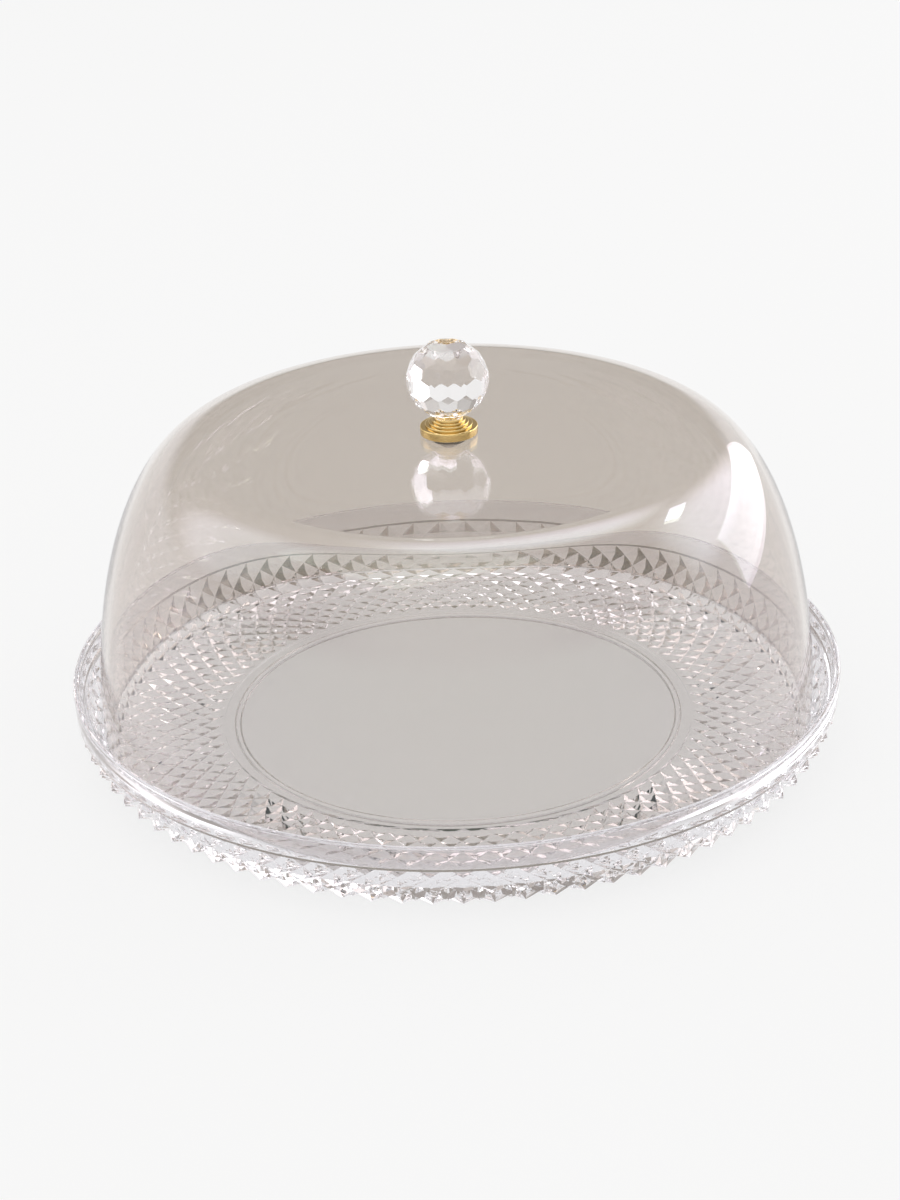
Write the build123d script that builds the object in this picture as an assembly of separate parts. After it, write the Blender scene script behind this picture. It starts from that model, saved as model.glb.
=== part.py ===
from build123d import *
import math
import os

# Cake dome: a clear moulded tray with a diamond-cut underside, and a clear cover that lifts off by
# a faceted crystal knob on a polished metal base. The knob is clamped to the cover by one screw.
# Millimetres. The origin is the centre of the circle on which the tray's foot ring stands.

# Tray
tray_diameter = 300.0
tray_height = 29.5
rim_thickness = 2.4
rim_band_height = 9.5
rim_band_draft = 0.4
floor_radius = 130.0
floor_top = 5.2
underside_height = 1.5

# Foot ring under the tray
foot_ring_diameter = 175.0
foot_ring_width = 2.6
foot_ring_round = 0.4

# Ledge inside the tray that carries the cover
seat_height = 9.0
seat_clearance = 0.5
seat_inner_margin = 0.5
seat_curve_sag = 1.1
wall_bow = 1.0

# Diamond pattern on the outside of the tray
diamonds_around = 80
floor_rows = 9
wall_rows = 4
pattern_inner_radius = 93.6
pattern_border = 0.7
floor_valley_height = 2.5
floor_diamond_depth = 1.8
corner_diamond_depth = 2.3
wall_diamond_depth = 3.0
tray_skin = 3.0
band_overhang = 2.2
valley_bow = 1.2

# Cover
cover_diameter = 278.6
cover_wall = 2.6
cover_flare = 0.2
cover_height = 113.4
cover_side_height = 8.0
cover_shoulder_width = 43.0
cover_foot_round = 0.6

# Knob
knob_ball_diameter = 31.0
knob_flat_share = 0.955
knob_table_share = 0.85
knob_neck_diameter = 10.4
knob_neck_height = 0.6
knob_facets_around = 10
knob_base_diameter = 22.0
knob_base_rim_height = 3.3
knob_base_edge_round = 0.4
knob_step_rise = 0.8
knob_step_widths = [2.0, 1.4, 1.2, 0.95]
spigot_diameter = 6.6
spigot_height = 3.5
spigot_clearance = 0.05
spigot_end_gap = 0.6

# Screw, washer and gaskets
screw_diameter = 4.0
screw_thread_length = 7.0
screw_head_diameter = 8.0
screw_head_height = 2.4
screw_recess_depth = 1.4
screw_recess_width = 1.0
screw_recess_span = 4.4
screw_hole_clearance = 0.25
thread_clearance = 0.03
tapped_depth = 8.5
washer_diameter = 12.0
washer_thickness = 0.8
lower_gasket_diameter = 14.0
lower_gasket_thickness = 1.0
upper_gasket_diameter = 19.0
upper_gasket_thickness = 0.3

# Places that follow from the sizes
tray_radius = tray_diameter / 2
rim_inner_radius = tray_radius - rim_thickness
band_bottom = tray_height - rim_band_height
band_bottom_radius = tray_radius - rim_band_draft
cover_radius = cover_diameter / 2
seat_outer_radius = cover_radius + seat_clearance
seat_inner_radius = cover_radius - cover_wall - seat_inner_margin
cover_bottom = seat_height
cover_top = cover_bottom + cover_height
cover_ceiling = cover_top - cover_wall
shoulder_radius = cover_radius + cover_flare
shoulder_start = cover_bottom + cover_side_height
flat_top_radius = shoulder_radius - cover_shoulder_width
upper_gasket_top = cover_top + upper_gasket_thickness
base_rim_top = upper_gasket_top + knob_base_rim_height
base_top = base_rim_top + knob_step_rise * len(knob_step_widths)
lower_gasket_bottom = cover_ceiling - lower_gasket_thickness
washer_bottom = lower_gasket_bottom - washer_thickness
screw_radius = screw_diameter / 2


def at(radius, height):
    """Point in the XZ plane at a radius from the axis and a height."""
    return (radius, 0, height)


def turned(lines):
    """Solid turned about the vertical axis from lines that close an outline in the XZ plane."""
    return revolve(make_face(lines), Axis.Z)


def turned_outline(points):
    """Solid turned about the vertical axis from a closed outline of (radius, height) points."""
    return turned(Polyline([at(radius, height) for radius, height in points], close=True))


def ring(inner_radius, outer_radius, bottom, top):
    """Flat ring about the vertical axis."""
    corners = [(inner_radius, bottom), (outer_radius, bottom), (outer_radius, top), (inner_radius, top)]
    return turned_outline(corners)


def bowed_arc(start, end, sag):
    """Arc in the XZ plane from start to end that bows to the right of its way by sag."""
    way_x = end[0] - start[0]
    way_z = end[1] - start[1]
    length = math.hypot(way_x, way_z)
    middle_x = (start[0] + end[0]) / 2 + way_z / length * sag
    middle_z = (start[1] + end[1]) / 2 - way_x / length * sag
    return ThreePointArc(at(*start), at(middle_x, middle_z), at(*end))


# Tray: the valleys of the diamond pattern lie on a flat underside and a bowed wall
corner_radius = seat_inner_radius + 0.6 * tray_skin
valley_wall_start = (corner_radius, floor_valley_height)
valley_wall_end = (band_bottom_radius - band_overhang, band_bottom)
valley_wall = bowed_arc(valley_wall_start, valley_wall_end, valley_bow)


def valley_row(row):
    """Radius, height and outward direction of the valleys in one row, counted from the inside."""
    if row < floor_rows:
        growth = corner_radius / pattern_inner_radius
        return pattern_inner_radius * growth ** (row / floor_rows), floor_valley_height, 0.0, -1.0
    place = (row - floor_rows) / wall_rows
    point = valley_wall @ place
    tangent = valley_wall % place
    out_x = tangent.Z
    out_z = -tangent.X
    if row == floor_rows:
        out_z -= 1.0
    size = math.hypot(out_x, out_z)
    return point.X, point.Z, out_x / size, out_z / size


def diamond_depth(row):
    """How far the diamonds of a row stand out of the valleys."""
    if row < floor_rows:
        return floor_diamond_depth
    if row == floor_rows:
        return corner_diamond_depth
    return wall_diamond_depth


def pattern_point(row, half_step, raised):
    """Point of the pattern: half_step counts half diamonds around, raised marks a diamond's tip."""
    radius, height, out_x, out_z = valley_row(row)
    if raised:
        radius += out_x * diamond_depth(row)
        height += out_z * diamond_depth(row)
    angle = math.pi * half_step / diamonds_around
    return Vector(radius * math.cos(angle), radius * math.sin(angle), height)


def facet(*corners):
    """Flat face between corner points."""
    return Face(Wire.make_polygon(corners))


def diamond_facets():
    """All facets of the pattern: four on each diamond and one in each gap along the two borders."""
    last_row = floor_rows + wall_rows
    facets = []
    for row in range(1, last_row):
        for count in range(diamonds_around):
            middle = 2 * count + (row + 1) % 2
            tip = pattern_point(row, middle, True)
            around = [
                pattern_point(row, middle - 1, False),
                pattern_point(row + 1, middle, False),
                pattern_point(row, middle + 1, False),
                pattern_point(row - 1, middle, False),
            ]
            for side in range(4):
                facets.append(facet(tip, around[side], around[(side + 1) % 4]))
    for border, beside in ((0, 1), (last_row, last_row - 1)):
        for count in range(diamonds_around):
            start = 2 * count + border % 2
            facets.append(
                facet(
                    pattern_point(border, start, False),
                    pattern_point(border, start + 2, False),
                    pattern_point(beside, start + 1, False),
                )
            )
    return facets


def border_wire(row):
    """Straight-sided loop through the valleys of a border row."""
    steps = range(row % 2, 2 * diamonds_around, 2)
    return Wire.make_polygon([pattern_point(row, step, False) for step in steps])


def circle_wire(radius, height):
    """Circle about the vertical axis."""
    return Wire.make_circle(radius, Plane.XY.offset(height))


def make_tray():
    """One moulded piece: smooth inside, diamond-cut outside, with a foot ring, a seat and a rim."""
    border_radius = pattern_inner_radius - pattern_border
    foot_outer = foot_ring_diameter / 2 + foot_ring_width / 2
    foot_inner = foot_ring_diameter / 2 - foot_ring_width / 2
    underside = Wire(
        [
            Line(at(0, underside_height), at(foot_inner, underside_height)),
            Line(at(foot_inner, underside_height), at(foot_inner, foot_ring_round)),
            Line(at(foot_inner, foot_ring_round), at(foot_inner + foot_ring_round, 0)),
            Line(at(foot_inner + foot_ring_round, 0), at(foot_outer - foot_ring_round, 0)),
            Line(at(foot_outer - foot_ring_round, 0), at(foot_outer, foot_ring_round)),
            Line(at(foot_outer, foot_ring_round), at(foot_outer, underside_height)),
            Line(at(foot_outer, underside_height), at(border_radius, underside_height)),
            Line(at(border_radius, underside_height), at(border_radius, floor_valley_height)),
        ]
    )
    rim_round = rim_thickness / 2
    rim_shoulder = tray_height - rim_round
    inside = Wire(
        [
            Line(at(0, floor_top), at(floor_radius, floor_top)),
            bowed_arc((floor_radius, floor_top), (seat_inner_radius, seat_height), seat_curve_sag),
            Line(at(seat_inner_radius, seat_height), at(seat_outer_radius, seat_height)),
            bowed_arc((seat_outer_radius, seat_height), (rim_inner_radius, rim_shoulder), wall_bow),
            ThreePointArc(
                at(rim_inner_radius, rim_shoulder),
                at(rim_inner_radius + rim_round, tray_height),
                at(tray_radius, rim_shoulder),
            ),
            Line(at(tray_radius, rim_shoulder), at(band_bottom_radius, band_bottom)),
        ]
    )
    faces = diamond_facets()
    faces += Shell.revolve(underside, 360, Axis.Z).faces()
    faces += Shell.revolve(inside, 360, Axis.Z).faces()
    faces.append(Face(border_wire(0), [circle_wire(border_radius, floor_valley_height)]))
    faces.append(Face(circle_wire(band_bottom_radius, band_bottom), [border_wire(floor_rows + wall_rows)]))
    return Solid(Shell(faces))


def make_cover():
    """Thin clear cover: nearly upright side, wide rounded shoulder, flat top with the screw's hole."""
    inner_foot = cover_radius - cover_wall
    hole_radius = screw_radius + screw_hole_clearance
    outer_curve = EllipticalCenterArc(
        (flat_top_radius, shoulder_start),
        cover_shoulder_width,
        cover_top - shoulder_start,
        start_angle=0,
        arc_size=90,
    )
    inner_curve = EllipticalCenterArc(
        (flat_top_radius, shoulder_start),
        cover_shoulder_width - cover_wall,
        cover_ceiling - shoulder_start,
        start_angle=0,
        arc_size=90,
    )
    inner_shoulder = shoulder_radius - cover_wall
    outline = [
        Plane.XZ * outer_curve,
        Line(at(flat_top_radius, cover_top), at(hole_radius, cover_top)),
        Line(at(hole_radius, cover_top), at(hole_radius, cover_ceiling)),
        Line(at(hole_radius, cover_ceiling), at(flat_top_radius, cover_ceiling)),
        Plane.XZ * inner_curve,
        Line(at(inner_shoulder, shoulder_start), at(inner_foot, cover_bottom + cover_foot_round)),
        Line(at(inner_foot, cover_bottom + cover_foot_round), at(inner_foot + cover_foot_round, cover_bottom)),
        Line(at(inner_foot + cover_foot_round, cover_bottom), at(cover_radius - cover_foot_round, cover_bottom)),
        Line(at(cover_radius - cover_foot_round, cover_bottom), at(cover_radius, cover_bottom + cover_foot_round)),
        Line(at(cover_radius, cover_bottom + cover_foot_round), at(shoulder_radius, shoulder_start)),
    ]
    return turned(outline)


def make_knob_base():
    """Polished metal base: a disc with steps that rise to the neck, a spigot and a tapped hole."""
    disc_radius = knob_base_diameter / 2
    edge = knob_base_edge_round
    outline = [
        (0, upper_gasket_top),
        (disc_radius - edge, upper_gasket_top),
        (disc_radius, upper_gasket_top + edge),
        (disc_radius, base_rim_top - edge),
        (disc_radius - edge, base_rim_top),
    ]
    step_radius = disc_radius
    step_height = base_rim_top
    for width in knob_step_widths:
        step_radius -= width
        outline.append((step_radius, step_height))
        step_height += knob_step_rise
        outline.append((step_radius, step_height))
    spigot_radius = spigot_diameter / 2
    outline.append((spigot_radius, base_top))
    outline.append((spigot_radius, base_top + spigot_height))
    outline.append((0, base_top + spigot_height))
    tapped_radius = screw_radius + thread_clearance
    tapped_hole = ring(0, tapped_radius, upper_gasket_top - 1, upper_gasket_top + tapped_depth)
    return turned_outline(outline) - tapped_hole


def ball_facet_rows():
    """Rows of flats on the crystal ball: latitude in degrees, and turn in half facets."""
    return [(50.0, 1), (26.0, 0), (0.0, 1), (-26.0, 0), (-50.0, 1)]


def make_knob_crystal():
    """Crystal ball cut with rows of flats and a flat table, on a short neck with a blind hole."""
    ball_radius = knob_ball_diameter / 2
    neck_radius = knob_neck_diameter / 2
    neck_top = base_top + knob_neck_height
    ball_centre = neck_top + math.sqrt(ball_radius**2 - neck_radius**2)
    flat_distance = ball_radius * knob_flat_share
    ball = Pos(0, 0, ball_centre) * Sphere(2 * ball_radius)
    for latitude, half_turn in ball_facet_rows():
        lift = math.radians(latitude)
        for count in range(knob_facets_around):
            turn = math.pi * (2 * count + half_turn) / knob_facets_around
            out = Vector(
                math.cos(lift) * math.cos(turn),
                math.cos(lift) * math.sin(turn),
                math.sin(lift),
            )
            flat = Plane(origin=Vector(0, 0, ball_centre) + out * flat_distance, z_dir=out)
            ball = split(ball, bisect_by=flat, keep=Keep.BOTTOM)
    table = Plane.XY.offset(ball_centre + ball_radius * knob_table_share)
    ball = split(ball, bisect_by=table, keep=Keep.BOTTOM)
    ball = split(ball, bisect_by=Plane.XY.offset(neck_top), keep=Keep.TOP)
    neck = ring(0, neck_radius, base_top, neck_top + ball_radius / 4)
    hole_radius = spigot_diameter / 2 + spigot_clearance
    hole = ring(0, hole_radius, base_top - 1, base_top + spigot_height + spigot_end_gap)
    return ball + neck - hole


def make_screw():
    """Pan-head screw from below, with a cross recess, through the cover into the knob's base."""
    head_radius = screw_head_diameter / 2
    head_bottom = washer_bottom - screw_head_height
    round_start = washer_bottom - 0.45 * screw_head_height
    crown = ThreePointArc(
        at(head_radius, round_start),
        at(head_radius * 0.82, head_bottom + 0.22 * screw_head_height),
        at(head_radius * 0.45, head_bottom),
    )
    shank_radius = screw_radius - thread_clearance
    shank_top = upper_gasket_top + screw_thread_length
    outline = [
        Line(at(0, head_bottom), at(head_radius * 0.45, head_bottom)),
        crown,
        Line(at(head_radius, round_start), at(head_radius, washer_bottom)),
        Line(at(head_radius, washer_bottom), at(shank_radius, washer_bottom)),
        Line(at(shank_radius, washer_bottom), at(shank_radius, shank_top)),
        Line(at(shank_radius, shank_top), at(0, shank_top)),
        Line(at(0, shank_top), at(0, head_bottom)),
    ]
    screw = turned(outline)
    for length_x, length_y in (
        (screw_recess_span, screw_recess_width),
        (screw_recess_width, screw_recess_span),
    ):
        bar = Box(length_x, length_y, 2 * screw_recess_depth)
        screw = screw - Pos(0, 0, head_bottom) * bar
    return screw


hole_radius = screw_radius + screw_hole_clearance
parts = {
    "tray": make_tray(),
    "dome_cover": make_cover(),
    "upper_gasket": ring(hole_radius, upper_gasket_diameter / 2, cover_top, upper_gasket_top),
    "knob_base": make_knob_base(),
    "knob_crystal": make_knob_crystal(),
    "lower_gasket": ring(hole_radius, lower_gasket_diameter / 2, lower_gasket_bottom, cover_ceiling),
    "flat_washer": ring(hole_radius, washer_diameter / 2, washer_bottom, lower_gasket_bottom),
    "knob_screw": make_screw(),
}

os.makedirs("parts", exist_ok=True)
for name, solid in parts.items():
    export_step(solid, os.path.join("parts", name + ".step"))
    box = solid.bounding_box()
    print(name, round(solid.volume), "mm3, from", box.min, "to", box.max)
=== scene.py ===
import logging
import math
from dataclasses import dataclass, field
from enum import Enum
from typing import Optional, Sequence

import bmesh
import bpy
from mathutils import Matrix, Vector


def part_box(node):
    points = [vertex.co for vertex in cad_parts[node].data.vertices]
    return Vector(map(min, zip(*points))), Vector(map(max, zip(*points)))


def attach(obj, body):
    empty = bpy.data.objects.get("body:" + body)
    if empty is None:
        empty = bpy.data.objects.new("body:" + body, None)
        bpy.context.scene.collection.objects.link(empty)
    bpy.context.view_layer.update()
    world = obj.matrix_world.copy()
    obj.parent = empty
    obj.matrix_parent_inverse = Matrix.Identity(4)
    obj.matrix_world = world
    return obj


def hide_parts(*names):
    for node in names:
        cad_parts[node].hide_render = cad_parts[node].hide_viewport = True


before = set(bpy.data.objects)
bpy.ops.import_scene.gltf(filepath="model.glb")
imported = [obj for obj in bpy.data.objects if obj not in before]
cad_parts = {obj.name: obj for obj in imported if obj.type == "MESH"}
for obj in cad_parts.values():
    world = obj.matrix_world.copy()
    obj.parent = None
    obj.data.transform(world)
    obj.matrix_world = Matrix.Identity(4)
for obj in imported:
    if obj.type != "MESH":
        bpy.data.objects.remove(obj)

log = logging.getLogger("cake_dome")

# Metres in a millimetre.
MM = 0.001
# Corners of a turned piece's outline: radius and height, in millimetres.
Outline = list[tuple[float, float]]
# The sRGB curve: straight below the knee, a shifted power above it.
SRGB_KNEE = 0.04045
SRGB_SLOPE = 12.92
SRGB_SHIFT = 0.055
SRGB_POWER = 2.4
# Points closer than this are one point, in metres.
WELD_DISTANCE = 1e-7
# Octaves of the noise in reliefs, in slow drifts of colour, and in smudges.
RELIEF_OCTAVES = 2.0
DRIFT_OCTAVES = 1.0
SMUDGE_OCTAVES = 4.0
# What the lamps look at: the middle of the cover, in metres.
LAMP_AIM = (0.0, 0.0, 0.06)


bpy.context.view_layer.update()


class Body(Enum):
    """Bodies of the frame that the pieces ride on."""

    BASE = "base"
    LID = "lid"


class Shading(Enum):
    """How a mesh's normals are read."""

    FLAT = "flat"
    BY_ANGLE = "by angle"


def linear(hex_colour: str) -> tuple[float, float, float, float]:
    """Turn an sRGB hex colour into linear RGBA.

    Args:
        hex_colour: six hex digits.

    Returns:
        Linear red, green and blue, and an alpha of 1.
    """
    channels = []
    for start in (0, 2, 4):
        value = int(hex_colour[start:start + 2], 16) / 255
        if value <= SRGB_KNEE:
            channels.append(value / SRGB_SLOPE)
        else:
            channels.append(((value + SRGB_SHIFT) / (1 + SRGB_SHIFT)) ** SRGB_POWER)
    return channels[0], channels[1], channels[2], 1.0


def add_node(
    tree: bpy.types.NodeTree,
    kind: str,
    settings: Optional[dict] = None,
    links: Optional[dict] = None,
) -> bpy.types.Node:
    """Add a node with its settings and links.

    Args:
        tree: node tree that gets the node.
        kind: the node's type name.
        settings: values of sockets, by name or index, or of the node's own properties.
        links: output sockets to link, by the name or index of the input they go to.

    Returns:
        The new node.
    """
    node = tree.nodes.new(kind)
    for name, value in (settings or {}).items():
        if isinstance(name, int) or name in node.inputs:
            node.inputs[name].default_value = value
        else:
            setattr(node, name, value)
    for name, source in (links or {}).items():
        tree.links.new(source, node.inputs[name])
    return node


@dataclass(frozen=True)
class Finish:
    """One surface finish: what the shader's sockets hold, and a fine relief.

    The relief is a slow wave or a fine grain in the surface. Its size and height are in
    millimetres. A metal has no IOR here, so its socket keeps the default.
    """

    name: str
    colour: str
    roughness: float
    ior: Optional[float] = None
    metallic: float = 0.0
    transmission: float = 0.0
    film_nm: float = 0.0
    relief_size_mm: float = 20.0
    relief_height_mm: float = 0.01
    colour_drift: str = ""
    drift_size_mm: float = 60.0
    roughness_drift: float = 0.0

    def material(self) -> bpy.types.Material:
        """Make the finish's material once, and then share it.

        Returns:
            The material.
        """
        found = bpy.data.materials.get(self.name)
        if found:
            return found
        made = bpy.data.materials.new(self.name)
        made.use_nodes = True
        tree = made.node_tree
        tree.nodes.clear()
        place = add_node(tree, "ShaderNodeTexCoord").outputs["Object"]
        settings = {
            "Base Color": linear(self.colour),
            "Roughness": self.roughness,
            "Metallic": self.metallic,
            "Transmission Weight": self.transmission,
        }
        if self.ior:
            settings["IOR"] = self.ior
        links = {"Normal": self.relief(tree, place)}
        if self.colour_drift:
            links["Base Color"] = self.drift(tree, place)
        if self.roughness_drift:
            links["Roughness"] = self.worn_roughness(tree, place)
        shader = add_node(tree, "ShaderNodeBsdfPrincipled", settings, links)
        if self.film_nm:
            shader.inputs["Thin Film Thickness"].default_value = self.film_nm
            shader.inputs["Thin Film IOR"].default_value = FILM_IOR
        add_node(tree, "ShaderNodeOutputMaterial", {}, {"Surface": shader.outputs[0]})
        return made

    def relief(self, tree: bpy.types.NodeTree, place: bpy.types.NodeSocket) -> bpy.types.NodeSocket:
        """Bump the surface with noise of the relief's size and height.

        Args:
            tree: the material's node tree.
            place: the point on the object.

        Returns:
            The bumped normal.
        """
        noise = add_node(
            tree,
            "ShaderNodeTexNoise",
            {"Scale": 1 / (self.relief_size_mm * MM), "Detail": RELIEF_OCTAVES},
            {"Vector": place},
        )
        bump = add_node(
            tree,
            "ShaderNodeBump",
            {"Strength": 1.0, "Distance": self.relief_height_mm * MM},
            {"Height": noise.outputs[0]},
        )
        return bump.outputs[0]

    def drift(self, tree: bpy.types.NodeTree, place: bpy.types.NodeSocket) -> bpy.types.NodeSocket:
        """Let the colour drift slowly between the finish's two colours.

        Args:
            tree: the material's node tree.
            place: the point on the object.

        Returns:
            The colour.
        """
        noise = add_node(
            tree,
            "ShaderNodeTexNoise",
            {"Scale": 1 / (self.drift_size_mm * MM), "Detail": DRIFT_OCTAVES},
            {"Vector": place},
        )
        mix = add_node(
            tree,
            "ShaderNodeMix",
            {"data_type": "RGBA", 6: linear(self.colour), 7: linear(self.colour_drift)},
            {0: noise.outputs[0]},
        )
        return mix.outputs[2]

    def worn_roughness(
        self, tree: bpy.types.NodeTree, place: bpy.types.NodeSocket
    ) -> bpy.types.NodeSocket:
        """Let the roughness rise in faint smudges.

        Args:
            tree: the material's node tree.
            place: the point on the object.

        Returns:
            The roughness.
        """
        noise = add_node(
            tree,
            "ShaderNodeTexNoise",
            {"Scale": 1 / (self.drift_size_mm * MM), "Detail": SMUDGE_OCTAVES},
            {"Vector": place},
        )
        spread = add_node(
            tree,
            "ShaderNodeMapRange",
            {3: self.roughness, 4: self.roughness + self.roughness_drift},
            {0: noise.outputs[0]},
        )
        return spread.outputs[0]


# A hard coat a few hundred nanometres thin gives the cover a faint rainbow sheen.
FILM_IOR = 1.55
# Millimetres between the drawn faces of pieces that touch: light that leaves glass then meets the
# next piece's face, and not the inside of it.
CONTACT_GAP = 0.05

# Moulded acrylic (PMMA, IOR 1.49) of the cover: clear, with a faint warm grey, and a slow ripple
# from the mould that bends reflections a little.
COVER_ACRYLIC = Finish(
    name="cover_moulded_acrylic",
    colour="E7E2DD",
    roughness=0.0,
    ior=1.49,
    transmission=1.0,
    film_nm=420.0,
    relief_size_mm=45.0,
    relief_height_mm=0.03,
)
# Injection-moulded acrylic of the tray: the same plastic, its facets polished in the mould.
TRAY_ACRYLIC = Finish(
    name="tray_moulded_acrylic",
    colour="F1F0F3",
    roughness=0.0,
    ior=1.49,
    transmission=1.0,
    relief_size_mm=30.0,
    relief_height_mm=0.015,
)
# Cut and polished crystal glass: colourless, IOR a little above window glass.
CUT_CRYSTAL = Finish(
    name="knob_cut_crystal_glass",
    colour="FBFAFA",
    roughness=0.0,
    ior=1.54,
    transmission=1.0,
    relief_size_mm=12.0,
    relief_height_mm=0.001,
)
# Gold-coloured plating on turned and polished brass: bright, with faint polishing marks and
# smudges. The real marks are too fine to show, so they are drawn coarser, as an uneven relief.
GOLD_PLATE = Finish(
    name="base_gold_plated_brass",
    colour="E6CD92",
    roughness=0.03,
    metallic=1.0,
    relief_size_mm=1.5,
    relief_height_mm=0.0006,
    colour_drift="DABB78",
    drift_size_mm=6.0,
    roughness_drift=0.04,
)
# Zinc-plated steel of the screw and the washer: cool grey, slightly dull. The plating's grain is
# drawn coarser than the real one, so that it shows.
ZINC_STEEL = Finish(
    name="screw_zinc_plated_steel",
    colour="D2D3D6",
    roughness=0.28,
    metallic=1.0,
    relief_size_mm=0.8,
    relief_height_mm=0.004,
    roughness_drift=0.15,
    drift_size_mm=3.0,
)
# Translucent silicone of the two gaskets: soft, milky and matt.
SILICONE = Finish(
    name="gasket_moulded_silicone",
    colour="F1EFEB",
    roughness=0.4,
    ior=1.41,
    transmission=0.5,
    relief_size_mm=1.5,
    relief_height_mm=0.01,
)


def new_object(name: str, mesh: bpy.types.Mesh) -> bpy.types.Object:
    """Link a new object that holds the mesh.

    Args:
        name: object name.
        mesh: its mesh.

    Returns:
        The object.
    """
    made = bpy.data.objects.new(name, mesh)
    bpy.context.scene.collection.objects.link(made)
    return made


def mesh_from(
    name: str,
    points: Sequence[Vector],
    faces: Sequence[Sequence[int]],
    shading: Shading,
    crease_degrees: float = 35.0,
) -> bpy.types.Mesh:
    """Make a mesh with its faces turned outwards.

    Args:
        name: mesh name.
        points: vertices, in metres.
        faces: vertex numbers of each face.
        shading: how normals are read.
        crease_degrees: edges sharper than this stay sharp with Shading.BY_ANGLE.

    Returns:
        The mesh.
    """
    mesh = bpy.data.meshes.new(name)
    mesh.from_pydata([tuple(point) for point in points], [], [tuple(face) for face in faces])
    work = bmesh.new()
    work.from_mesh(mesh)
    bmesh.ops.remove_doubles(work, verts=work.verts, dist=WELD_DISTANCE)
    bmesh.ops.recalc_face_normals(work, faces=work.faces)
    for face in work.faces:
        face.smooth = shading is not Shading.FLAT
    if shading is Shading.BY_ANGLE:
        limit = math.radians(crease_degrees)
        for edge in work.edges:
            edge.smooth = len(edge.link_faces) == 2 and edge.calc_face_angle(0.0) < limit
    work.to_mesh(mesh)
    work.free()
    return mesh


def lathe(outline: Outline, steps: int) -> tuple[list[Vector], list[list[int]]]:
    """Turn a closed outline about the vertical axis.

    Args:
        outline: radius and height of each corner, in millimetres, none on the axis.
        steps: number of divisions around.

    Returns:
        Points in metres and four-sided faces.
    """
    points = []
    for step in range(steps):
        angle = 2 * math.pi * step / steps
        for radius, height in outline:
            place = Vector((radius * math.cos(angle), radius * math.sin(angle), height))
            points.append(place * MM)
    count = len(outline)
    faces = []
    for step in range(steps):
        after = (step + 1) % steps
        for index in range(count):
            beside = (index + 1) % count
            faces.append(
                [
                    step * count + index,
                    after * count + index,
                    after * count + beside,
                    step * count + beside,
                ]
            )
    return points, faces


def arc(
    start: tuple[float, float], end: tuple[float, float], sag: float, pieces: int
) -> Outline:
    """Points on an arc that bows to the right of its way by sag, from start to end.

    Args:
        start: first point.
        end: last point.
        sag: height of the bow over the chord's middle.
        pieces: number of divisions.

    Returns:
        The points, both ends included.
    """
    way_x = end[0] - start[0]
    way_y = end[1] - start[1]
    chord = math.hypot(way_x, way_y)
    radius = (chord * chord / 4 + sag * sag) / (2 * sag)
    half_angle = math.asin(chord / 2 / radius)
    out_x = way_y / chord
    out_y = -way_x / chord
    centre_x = (start[0] + end[0]) / 2 - out_x * (radius - sag)
    centre_y = (start[1] + end[1]) / 2 - out_y * (radius - sag)
    points = []
    for piece in range(pieces + 1):
        angle = -half_angle + 2 * half_angle * piece / pieces
        along = math.sin(angle) * radius
        out = math.cos(angle) * radius
        points.append(
            (
                centre_x + out_x * out + way_x / chord * along,
                centre_y + out_y * out + way_y / chord * along,
            )
        )
    return points


def quarter_round(
    centre: tuple[float, float],
    radius_x: float,
    radius_y: float,
    first: float,
    last: float,
    pieces: int,
) -> Outline:
    """Points on a stretch of an ellipse.

    Args:
        centre: the ellipse's centre.
        radius_x: its half width.
        radius_y: its half height.
        first: angle of the first point, in degrees.
        last: angle of the last point, in degrees.
        pieces: number of divisions.

    Returns:
        The points, both ends included.
    """
    points = []
    for piece in range(pieces + 1):
        angle = math.radians(first + (last - first) * piece / pieces)
        along = centre[0] + radius_x * math.cos(angle)
        height = centre[1] + radius_y * math.sin(angle)
        points.append((along, height))
    return points


def node_size(node: str) -> tuple[float, float, float]:
    """Return a turned CAD node's radius, lowest and highest height, in millimetres."""
    low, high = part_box(node)
    return (high.x - low.x) / 2 / MM, low.z / MM, high.z / MM


def settle(piece: bpy.types.Object, body: Body, finish: Finish, replaced: str) -> None:
    """Give a piece its finish and body, and hide the CAD node that it stands for.

    Args:
        piece: the piece.
        body: body that it rides on.
        finish: its finish.
        replaced: name of the CAD node that it replaces.
    """
    piece.data.materials.clear()
    piece.data.materials.append(finish.material())
    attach(piece, body.value)
    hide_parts(replaced)
    log.info("%s: %d faces, finish %s", piece.name, len(piece.data.polygons), finish.name)


def dress_node(node: str, finish: Finish) -> None:
    """Give a CAD node that stays in view its finish.

    Args:
        node: name of the CAD node.
        finish: its finish.
    """
    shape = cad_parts[node]
    shape.data.materials.clear()
    shape.data.materials.append(finish.material())
    log.info("%s: CAD solid kept, finish %s", node, finish.name)


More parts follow.
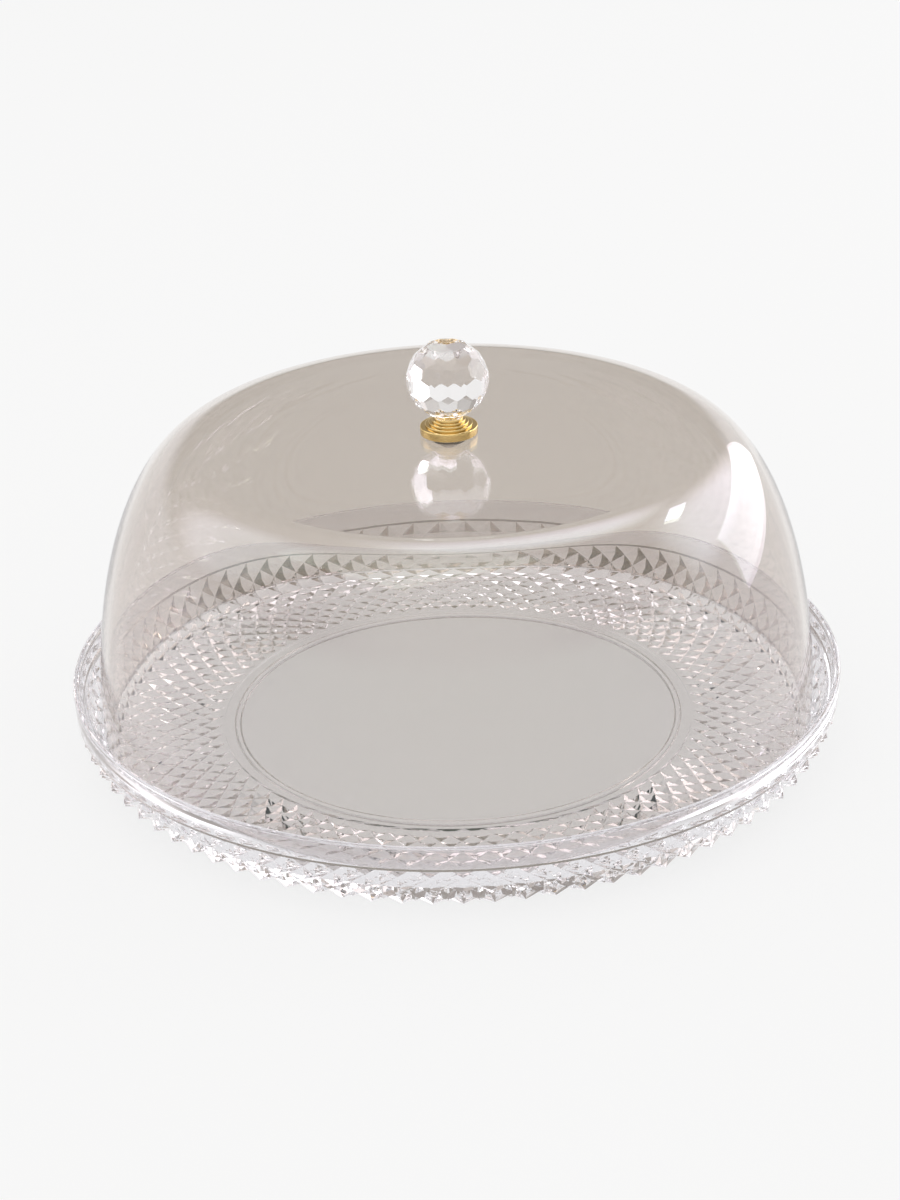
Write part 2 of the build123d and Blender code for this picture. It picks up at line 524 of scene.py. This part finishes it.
@dataclass
class Tray:
    """Clear tray: smooth inside, diamond-cut outside, foot ring, seat and rim. Millimetres."""

    diamonds_around: int = 80
    floor_rows: int = 9
    wall_rows: int = 4
    pattern_inner_radius: float = 93.6
    pattern_border: float = 0.7
    floor_valley: float = 2.5
    floor_depth: float = 1.8
    corner_depth: float = 2.3
    wall_depth: float = 3.0
    valley_bow: float = 1.2
    corner_radius: float = 138.0
    band_height: float = 9.5
    band_draft: float = 0.4
    band_overhang: float = 2.2
    underside: float = 1.5
    foot_radius: float = 87.5
    foot_width: float = 2.6
    foot_round: float = 1.1
    floor_radius: float = 130.0
    floor_top: float = 5.2
    seat_inner: float = 136.2
    seat_outer: float = 139.8
    seat_height: float = 9.0
    seat_sag: float = 1.1
    wall_bow: float = 1.0
    rim_thickness: float = 2.4
    smooth_steps: int = 320
    wall_fineness: int = 16
    seat_pieces: int = 8
    wall_pieces: int = 12
    foot_pieces: int = 9
    crease_degrees: float = 12.0
    axis_gap: float = 0.02
    radius: float = field(init=False)
    height: float = field(init=False)

    def __post_init__(self) -> None:
        """Read the outer size from the frame."""
        self.radius, _, self.height = node_size("tray")

    def valley(self, row: int) -> tuple[float, float, float, float]:
        """Find a row of valleys.

        Args:
            row: number of the row, from the pattern's inner border outwards.

        Returns:
            Its radius and height, and the outward and upward parts of the way out of the tray.
        """
        if row < self.floor_rows:
            growth = self.corner_radius / self.pattern_inner_radius
            radius = self.pattern_inner_radius * growth ** (row / self.floor_rows)
            return radius, self.floor_valley, 0.0, -1.0
        start = (self.corner_radius, self.floor_valley)
        end = (self.radius - self.band_draft - self.band_overhang, self.height - self.band_height)
        points = arc(start, end, self.valley_bow, self.wall_rows * self.wall_fineness)
        index = (row - self.floor_rows) * self.wall_fineness
        before = points[max(index - 1, 0)]
        after = points[min(index + 1, len(points) - 1)]
        out_x = after[1] - before[1]
        out_z = before[0] - after[0]
        size = math.hypot(out_x, out_z)
        out_x, out_z = out_x / size, out_z / size
        if row == self.floor_rows:
            size = math.hypot(out_x, out_z - 1)
            out_x, out_z = out_x / size, (out_z - 1) / size
        return points[index][0], points[index][1], out_x, out_z

    def depth(self, row: int) -> float:
        """Find how far a row's diamonds stand out of the valleys.

        Args:
            row: number of the row.

        Returns:
            The height of its diamonds.
        """
        if row == self.floor_rows:
            return self.corner_depth
        return self.floor_depth if row < self.floor_rows else self.wall_depth

    def pattern_point(self, row: int, half_step: int, raised: bool) -> Vector:
        """Find a point of the pattern: a valley crossing or a diamond's tip.

        Args:
            row: number of the row.
            half_step: place around, in half diamonds.
            raised: whether it is a tip.

        Returns:
            The point, in metres.
        """
        radius, height, out_x, out_z = self.valley(row)
        if raised:
            radius += out_x * self.depth(row)
            height += out_z * self.depth(row)
        angle = math.pi * half_step / self.diamonds_around
        return Vector((radius * math.cos(angle), radius * math.sin(angle), height)) * MM

    def facets(self) -> tuple[list[Vector], list[list[int]]]:
        """Make the whole diamond pattern, with both borders.

        Returns:
            Its points in metres, and its three-sided faces.
        """
        points: list[Vector] = []
        faces: list[list[int]] = []
        last = self.floor_rows + self.wall_rows

        def add(*corners: Vector) -> None:
            """Add one face.

            Args:
                corners: its corner points.
            """
            first = len(points)
            points.extend(corners)
            faces.append(list(range(first, first + len(corners))))

        for row in range(1, last):
            for count in range(self.diamonds_around):
                middle = 2 * count + (row + 1) % 2
                tip = self.pattern_point(row, middle, True)
                around = [
                    self.pattern_point(row, middle - 1, False),
                    self.pattern_point(row + 1, middle, False),
                    self.pattern_point(row, middle + 1, False),
                    self.pattern_point(row - 1, middle, False),
                ]
                for side, corner in enumerate(around):
                    add(tip, corner, around[(side + 1) % len(around)])
        for border, beside in ((0, 1), (last, last - 1)):
            for count in range(self.diamonds_around):
                start = 2 * count + border % 2
                add(
                    self.pattern_point(border, start, False),
                    self.pattern_point(border, start + 2, False),
                    self.pattern_point(beside, start + 1, False),
                )
        return points, faces

    def inside_outline(self) -> Outline:
        """Draw the smooth inside, the rim and the band, from the axis outwards.

        Returns:
            The open outline.
        """
        rim_inner = self.radius - self.rim_thickness
        rim_round = self.rim_thickness / 2
        shoulder = self.height - rim_round
        outline = [(self.axis_gap, self.floor_top)]
        outline += arc(
            (self.floor_radius, self.floor_top),
            (self.seat_inner, self.seat_height),
            self.seat_sag,
            self.seat_pieces,
        )
        outline += arc(
            (self.seat_outer, self.seat_height),
            (rim_inner, shoulder),
            self.wall_bow,
            self.wall_pieces,
        )
        rim_middle = (rim_inner + rim_round, shoulder)
        outline += quarter_round(rim_middle, rim_round, rim_round, 180, 0, self.wall_pieces)[1:]
        outline.append((self.radius - self.band_draft, self.height - self.band_height))
        return outline

    def underside_outline(self) -> Outline:
        """Draw the smooth underside with its foot ring, from the pattern's border inwards.

        Returns:
            The open outline.
        """
        border = self.pattern_inner_radius - self.pattern_border
        outer = self.foot_radius + self.foot_width / 2
        inner = self.foot_radius - self.foot_width / 2
        bend = self.foot_round
        pieces = self.foot_pieces
        outline = [(border, self.floor_valley), (border, self.underside), (outer, self.underside)]
        outline += quarter_round((outer - bend, bend), bend, bend, 0, -90, pieces)
        outline += quarter_round((inner + bend, bend), bend, bend, -90, -180, pieces)
        outline += [(inner, self.underside), (self.axis_gap, self.underside)]
        return outline

    def border_faces(
        self, row: int, radius: float, height: float, points: list[Vector], faces: list[list[int]]
    ) -> None:
        """Join a border row of valleys to a finely divided circle with flat faces.

        Args:
            row: the border's row of the pattern.
            radius: radius of the circle, in millimetres.
            height: height of the circle, in millimetres.
            points: the mesh's points, which get the new ones.
            faces: the mesh's faces, which get the new ones.
        """
        share = self.smooth_steps // self.diamonds_around
        for count in range(self.diamonds_around):
            start = 2 * count + row % 2
            first_step = share * start // 2
            circle = []
            for step in range(first_step, first_step + share + 1):
                angle = 2 * math.pi * step / self.smooth_steps
                place = Vector((radius * math.cos(angle), radius * math.sin(angle), height))
                circle.append(place * MM)
            corners = [
                self.pattern_point(row, start, False),
                self.pattern_point(row, start + 2, False),
            ]
            first = len(points)
            points.extend(corners + circle)
            faces.append([first, first + 1] + [first + 2 + i for i in reversed(range(share + 1))])

    def build(self) -> bpy.types.Object:
        """Build the tray's mesh: turned smooth sides joined to the facets.

        Returns:
            The tray.
        """
        points, faces = self.facets()
        sharp_count = len(faces)
        for outline in (self.underside_outline(), self.inside_outline()):
            turned, quads = lathe(outline, self.smooth_steps)
            count = len(outline)
            first = len(points)
            points.extend(turned)
            for number, quad in enumerate(quads):
                if number % count != count - 1:
                    faces.append([first + corner for corner in quad])
        border = self.pattern_inner_radius - self.pattern_border
        self.border_faces(0, border, self.floor_valley, points, faces)
        self.border_faces(
            self.floor_rows + self.wall_rows,
            self.radius - self.band_draft,
            self.height - self.band_height,
            points,
            faces,
        )
        for height in (self.underside, self.floor_top):
            hub = lathe([(self.axis_gap, height)], self.smooth_steps)[0]
            first = len(points)
            points.extend(hub)
            faces.append(list(range(first, first + len(hub))))
        mesh = mesh_from("tray_moulding", points, faces, Shading.BY_ANGLE, self.crease_degrees)
        log.info("tray: %d facets in the pattern", sharp_count)
        return new_object("tray_moulding", mesh)

    def dress(self, piece: bpy.types.Object) -> None:
        """Give the tray its acrylic."""
        settle(piece, Body.BASE, TRAY_ACRYLIC, "tray")


@dataclass
class Cover:
    """Clear low dome with the screw's hole, and two gaskets kept as CAD solids. Millimetres."""

    wall: float = 2.6
    flare: float = 0.2
    side_height: float = 8.0
    shoulder_width: float = 43.0
    foot_round: float = 0.6
    hole_radius: float = 2.25
    steps: int = 288
    shoulder_pieces: int = 56
    radius: float = field(init=False)
    bottom: float = field(init=False)
    top: float = field(init=False)

    def __post_init__(self) -> None:
        """Read the outer size from the frame."""
        self.radius, self.bottom, self.top = node_size("dome_cover")
        self.bottom += CONTACT_GAP
        self.top -= CONTACT_GAP

    def outline(self) -> Outline:
        """Draw the cover: up the outside, in over the top, and down the inside.

        Returns:
            The closed outline.
        """
        foot = self.radius - self.flare
        shoulder_start = self.bottom + self.side_height
        flat_radius = self.radius - self.shoulder_width
        ceiling = self.top - self.wall + 2 * CONTACT_GAP
        points = [(foot - self.foot_round, self.bottom), (foot, self.bottom + self.foot_round)]
        points += quarter_round(
            (flat_radius, shoulder_start),
            self.shoulder_width,
            self.top - shoulder_start,
            0,
            90,
            self.shoulder_pieces,
        )
        points += [(self.hole_radius, self.top), (self.hole_radius, ceiling)]
        points += quarter_round(
            (flat_radius, shoulder_start),
            self.shoulder_width - self.wall,
            ceiling - shoulder_start,
            90,
            0,
            self.shoulder_pieces,
        )
        points += [
            (foot - self.wall, self.bottom + self.foot_round),
            (foot - self.wall + self.foot_round, self.bottom),
        ]
        return points

    def build(self) -> bpy.types.Object:
        """Build the cover's mesh.

        Returns:
            The cover.
        """
        points, faces = lathe(self.outline(), self.steps)
        mesh = mesh_from("cover_moulding", points, faces, Shading.BY_ANGLE)
        return new_object("cover_moulding", mesh)

    def dress(self, piece: bpy.types.Object) -> None:
        """Give the cover its acrylic and the gaskets their silicone.

        Args:
            piece: the cover.
        """
        settle(piece, Body.LID, COVER_ACRYLIC, "dome_cover")
        for node in ("upper_gasket", "lower_gasket"):
            dress_node(node, SILICONE)


@dataclass
class Knob:
    """Stepped metal base, faceted crystal, and the screw and washer below. Millimetres."""

    rim_height: float = 3.3
    edge_round: float = 0.4
    step_rise: float = 0.8
    step_widths: tuple[float, ...] = (2.0, 1.4, 1.2, 0.95)
    step_round: float = 0.22
    edge_pieces: int = 5
    step_pieces: int = 4
    spigot_radius: float = 3.3
    tapped_radius: float = 2.03
    tapped_depth: float = 8.5
    axis_gap: float = 0.02
    steps: int = 160
    radius: float = field(init=False)
    bottom: float = field(init=False)
    top: float = field(init=False)

    def __post_init__(self) -> None:
        """Read the base's outer size from the frame."""
        self.radius, self.bottom, self.top = node_size("knob_base")
        self.bottom += CONTACT_GAP

    def base_outline(self) -> Outline:
        """Draw the base, with rounded corners on the rim and every step.

        Returns:
            The closed outline.
        """
        edge = self.edge_round
        rim_top = self.bottom + self.rim_height - 2 * CONTACT_GAP
        points = [(self.tapped_radius, self.bottom)]
        across = self.radius - edge
        pieces = self.edge_pieces
        points += quarter_round((across, self.bottom + edge), edge, edge, -90, 0, pieces)
        points += quarter_round((across, rim_top - edge), edge, edge, 0, 90, pieces)
        radius = self.radius
        height = rim_top
        for width in self.step_widths:
            radius -= width
            points.append((radius, height))
            height += self.step_rise
            corner = self.step_round
            middle = (radius - corner, height - corner)
            points += quarter_round(middle, corner, corner, 0, 90, self.step_pieces)
        points += [
            (self.spigot_radius, height),
            (self.spigot_radius, self.top),
            (self.axis_gap, self.top),
            (self.axis_gap, self.bottom + self.tapped_depth),
            (self.tapped_radius, self.bottom + self.tapped_depth),
        ]
        return points

    def build(self) -> bpy.types.Object:
        """Build the metal base's mesh.

        Returns:
            The base.
        """
        points, faces = lathe(self.base_outline(), self.steps)
        mesh = mesh_from("knob_base_turned", points, faces, Shading.BY_ANGLE)
        return new_object("knob_base_turned", mesh)

    def dress(self, piece: bpy.types.Object) -> None:
        """Give the base its plating, and the CAD solids their glass and steel.

        Args:
            piece: the base.
        """
        settle(piece, Body.LID, GOLD_PLATE, "knob_base")
        dress_node("knob_crystal", CUT_CRYSTAL)
        for node in ("flat_washer", "knob_screw"):
            dress_node(node, ZINC_STEEL)


@dataclass(frozen=True)
class Glow:
    """A large soft bright patch of the studio's walls or ceiling, seen from the object."""

    direction: tuple[float, float, float]
    core_degrees: float
    edge_degrees: float
    share: float = 1.0

    def amount(
        self, tree: bpy.types.NodeTree, place: bpy.types.NodeSocket
    ) -> bpy.types.NodeSocket:
        """Find how much of the patch shows in a direction.

        Args:
            tree: the world's node tree.
            place: the direction.

        Returns:
            The patch's share in its core, falling smoothly to 0 at its edge.
        """
        along = add_node(
            tree,
            "ShaderNodeVectorMath",
            {"operation": "DOT_PRODUCT", 1: Vector(self.direction).normalized()},
            {0: place},
        )
        soft = add_node(
            tree,
            "ShaderNodeMapRange",
            {
                "interpolation_type": "SMOOTHSTEP",
                1: math.cos(math.radians(self.edge_degrees)),
                2: math.cos(math.radians(self.core_degrees)),
                4: self.share,
            },
            {0: along.outputs["Value"]},
        )
        return soft.outputs[0]


@dataclass(frozen=True)
class Lamp:
    """A rectangular soft lamp that looks at the object. Metres and watts."""

    name: str
    place: tuple[float, float, float]
    size: tuple[float, float]
    power: float
    colour: str

    def hang(self) -> None:
        """Make the lamp and turn it to the object."""
        light = bpy.data.lights.new(self.name, "AREA")
        light.shape = "RECTANGLE"
        light.size, light.size_y = self.size
        light.energy = self.power
        light.color = linear(self.colour)[:3]
        made = bpy.data.objects.new(self.name, light)
        bpy.context.scene.collection.objects.link(made)
        made.location = self.place
        towards = Vector(LAMP_AIM) - Vector(self.place)
        made.rotation_euler = towards.to_track_quat("-Z", "Y").to_euler()


@dataclass
class Studio:
    """Pale floor, soft lamps, world and camera. Metres, and pixels of the 900 by 1200 picture."""

    backdrop: str = "F8F8F8"
    wall: str = "E9E1DA"
    glow: str = "F6F5FC"
    wall_strength: float = 0.50
    glow_strength: float = 2.6
    sweep_bend: float = 9.0
    sweep_end: float = 20.0
    glass_bounces: int = 32
    floor_size: float = 60.0
    floor_glow_share: float = 0.88
    camera_distance: float = 1.0417
    camera_elevation: float = 28.03
    camera_roll: float = -1.85
    camera_aim: tuple[float, float, float] = (-0.0017, 0.0, 0.0524)
    picture_height: float = 1200.0
    focal_pixels: float = 2609.5
    sensor: float = 36.0
    camera_reach: float = 100.0
    world_fill: float = 0.85
    fill_tone: str = "FAF9F8"
    glows: tuple[Glow, ...] = (
        Glow((0.85, 0.5, 0.3), 16.0, 36.0),
        Glow((-0.9, 0.25, 0.75), 12.0, 30.0, 0.7),
        Glow((0.1, -0.3, 1.0), 6.0, 30.0, 0.2),
        Glow((0.0, -0.9, 0.6), 10.0, 50.0, 0.25),
        Glow((0.3, 0.9, 1.6), 8.0, 22.0),
    )
    lamps: tuple[Lamp, ...] = (
        Lamp("window_right", (1.22, 0.95, 0.28), (1.3, 0.6), 5.0, "FAFBFF"),
        Lamp("skylight_right", (0.86, 0.5, 0.99), (0.3, 0.12), 0.7, "FFFFFF"),
        Lamp("overhead_soft", (-0.3, -0.2, 1.7), (1.4, 1.4), 5.0, "FFFDF9"),
    )

    def floor(self) -> None:
        """Lay the floor: mostly a pale glow where it is seen, and for the rest lit by the lamps."""
        half = self.floor_size / 2
        level = -CONTACT_GAP * MM
        sides = ((-half, -half), (half, -half), (half, half), (-half, half))
        corners = [Vector((x, y, level)) for x, y in sides]
        mesh = mesh_from("studio_floor", corners, [[0, 1, 2, 3]], Shading.FLAT)
        floor = new_object("studio_floor", mesh)
        made = bpy.data.materials.new("studio_floor_paper")
        made.use_nodes = True
        tree = made.node_tree
        tree.nodes.clear()
        colour = linear(self.backdrop)
        diffuse = add_node(tree, "ShaderNodeBsdfDiffuse", {"Color": colour})
        glow = add_node(tree, "ShaderNodeEmission", {"Color": colour, "Strength": 1.0})
        share = add_node(
            tree,
            "ShaderNodeMath",
            {"operation": "MULTIPLY", 1: self.floor_glow_share},
            {0: seen_rays(tree)},
        )
        mix = add_node(
            tree,
            "ShaderNodeMixShader",
            {},
            {0: share.outputs[0], 1: diffuse.outputs[0], 2: glow.outputs[0]},
        )
        add_node(tree, "ShaderNodeOutputMaterial", {}, {"Surface": mix.outputs[0]})
        mesh.materials.append(made)

    def world(self) -> None:
        """Set the world: a pale paper sweep low down, warm grey walls above, soft white glows."""
        world = bpy.data.worlds.new("studio")
        bpy.context.scene.world = world
        world.use_nodes = True
        tree = world.node_tree
        tree.nodes.clear()
        place = add_node(tree, "ShaderNodeTexCoord").outputs["Generated"]
        bright = self.glows[0].amount(tree, place)
        for glow in self.glows[1:]:
            bright = add_node(
                tree,
                "ShaderNodeMath",
                {"operation": "MAXIMUM"},
                {0: bright, 1: glow.amount(tree, place)},
            ).outputs[0]
        shade = add_node(
            tree,
            "ShaderNodeMapRange",
            {3: self.wall_strength, 4: self.glow_strength},
            {0: bright},
        )
        tone = add_node(
            tree,
            "ShaderNodeMix",
            {"data_type": "RGBA", 6: linear(self.wall), 7: linear(self.glow)},
            {0: bright},
        )
        studio = add_node(
            tree,
            "ShaderNodeBackground",
            {},
            {"Color": tone.outputs[2], "Strength": shade.outputs[0]},
        )
        height = add_node(tree, "ShaderNodeSeparateXYZ", {}, {0: place}).outputs[2]
        sweep = add_node(
            tree,
            "ShaderNodeMapRange",
            {
                "interpolation_type": "SMOOTHSTEP",
                1: math.sin(math.radians(self.sweep_bend)),
                2: math.sin(math.radians(self.sweep_end)),
                3: 1.0,
                4: 0.0,
            },
            {0: height},
        )
        paper = add_node(
            tree, "ShaderNodeBackground", {"Color": linear(self.backdrop), "Strength": 1.0}
        )
        room = add_node(
            tree,
            "ShaderNodeMixShader",
            {},
            {0: sweep.outputs[0], 1: studio.outputs[0], 2: paper.outputs[0]},
        )
        fill = add_node(
            tree,
            "ShaderNodeBackground",
            {"Color": linear(self.fill_tone), "Strength": self.world_fill},
        )
        mix = add_node(
            tree,
            "ShaderNodeMixShader",
            {},
            {0: seen_rays(tree), 1: fill.outputs[0], 2: room.outputs[0]},
        )
        add_node(tree, "ShaderNodeOutputWorld", {}, {"Surface": mix.outputs[0]})

    def camera(self) -> None:
        """Place the camera at the picture's viewing angle."""
        lens = bpy.data.cameras.new("picture_camera")
        lens.sensor_fit = "VERTICAL"
        lens.sensor_height = self.sensor
        lens.lens = self.sensor * self.focal_pixels / self.picture_height
        lens.clip_end = self.camera_reach
        made = bpy.data.objects.new("picture_camera", lens)
        bpy.context.scene.collection.objects.link(made)
        lift = math.radians(self.camera_elevation)
        place = Vector((0.0, -math.cos(lift), math.sin(lift))) * self.camera_distance
        back = (place - Vector(self.camera_aim)).normalized()
        right = Vector((0.0, 0.0, 1.0)).cross(back).normalized()
        up = back.cross(right)
        turn = Matrix((right, up, back)).transposed()
        roll = Matrix.Rotation(math.radians(self.camera_roll), 3, "Z")
        made.matrix_world = Matrix.Translation(place) @ (turn @ roll).to_4x4()
        bpy.context.scene.camera = made

    def build(self) -> None:
        """Set up the floor, the world, the lamps and the camera."""
        self.floor()
        self.world()
        for lamp in self.lamps:
            lamp.hang()
        self.camera()
        scene = bpy.context.scene
        scene.view_settings.view_transform = "Standard"
        # Light is reflected many times inside cut glass, so few bounces would leave facets black.
        scene.cycles.max_bounces = self.glass_bounces
        scene.cycles.glossy_bounces = self.glass_bounces
        scene.cycles.transmission_bounces = self.glass_bounces
        log.info("studio: floor, world, %d lamps and the camera", len(self.lamps))


def seen_rays(tree: bpy.types.NodeTree) -> bpy.types.NodeSocket:
    """Tell the camera's rays, also where metal reflects or glass refracts them, from light's own.

    Args:
        tree: node tree of a material or the world.

    Returns:
        1 for the camera's rays and 0 for the rest.
    """
    path = add_node(tree, "ShaderNodeLightPath")
    either = add_node(
        tree,
        "ShaderNodeMath",
        {"operation": "MAXIMUM"},
        {0: path.outputs["Is Camera Ray"], 1: path.outputs["Is Glossy Ray"]},
    )
    any_of = add_node(
        tree,
        "ShaderNodeMath",
        {"operation": "MAXIMUM"},
        {0: either.outputs[0], 1: path.outputs["Is Transmission Ray"]},
    )
    return any_of.outputs[0]


def main() -> None:
    """Build the studio and the object's sub-assemblies in order."""
    logging.basicConfig(level=logging.INFO, format="%(name)s: %(message)s")
    Studio().build()
    for part in (Tray(), Cover(), Knob()):
        part.dress(part.build())


if __name__ == "__main__":
    main()
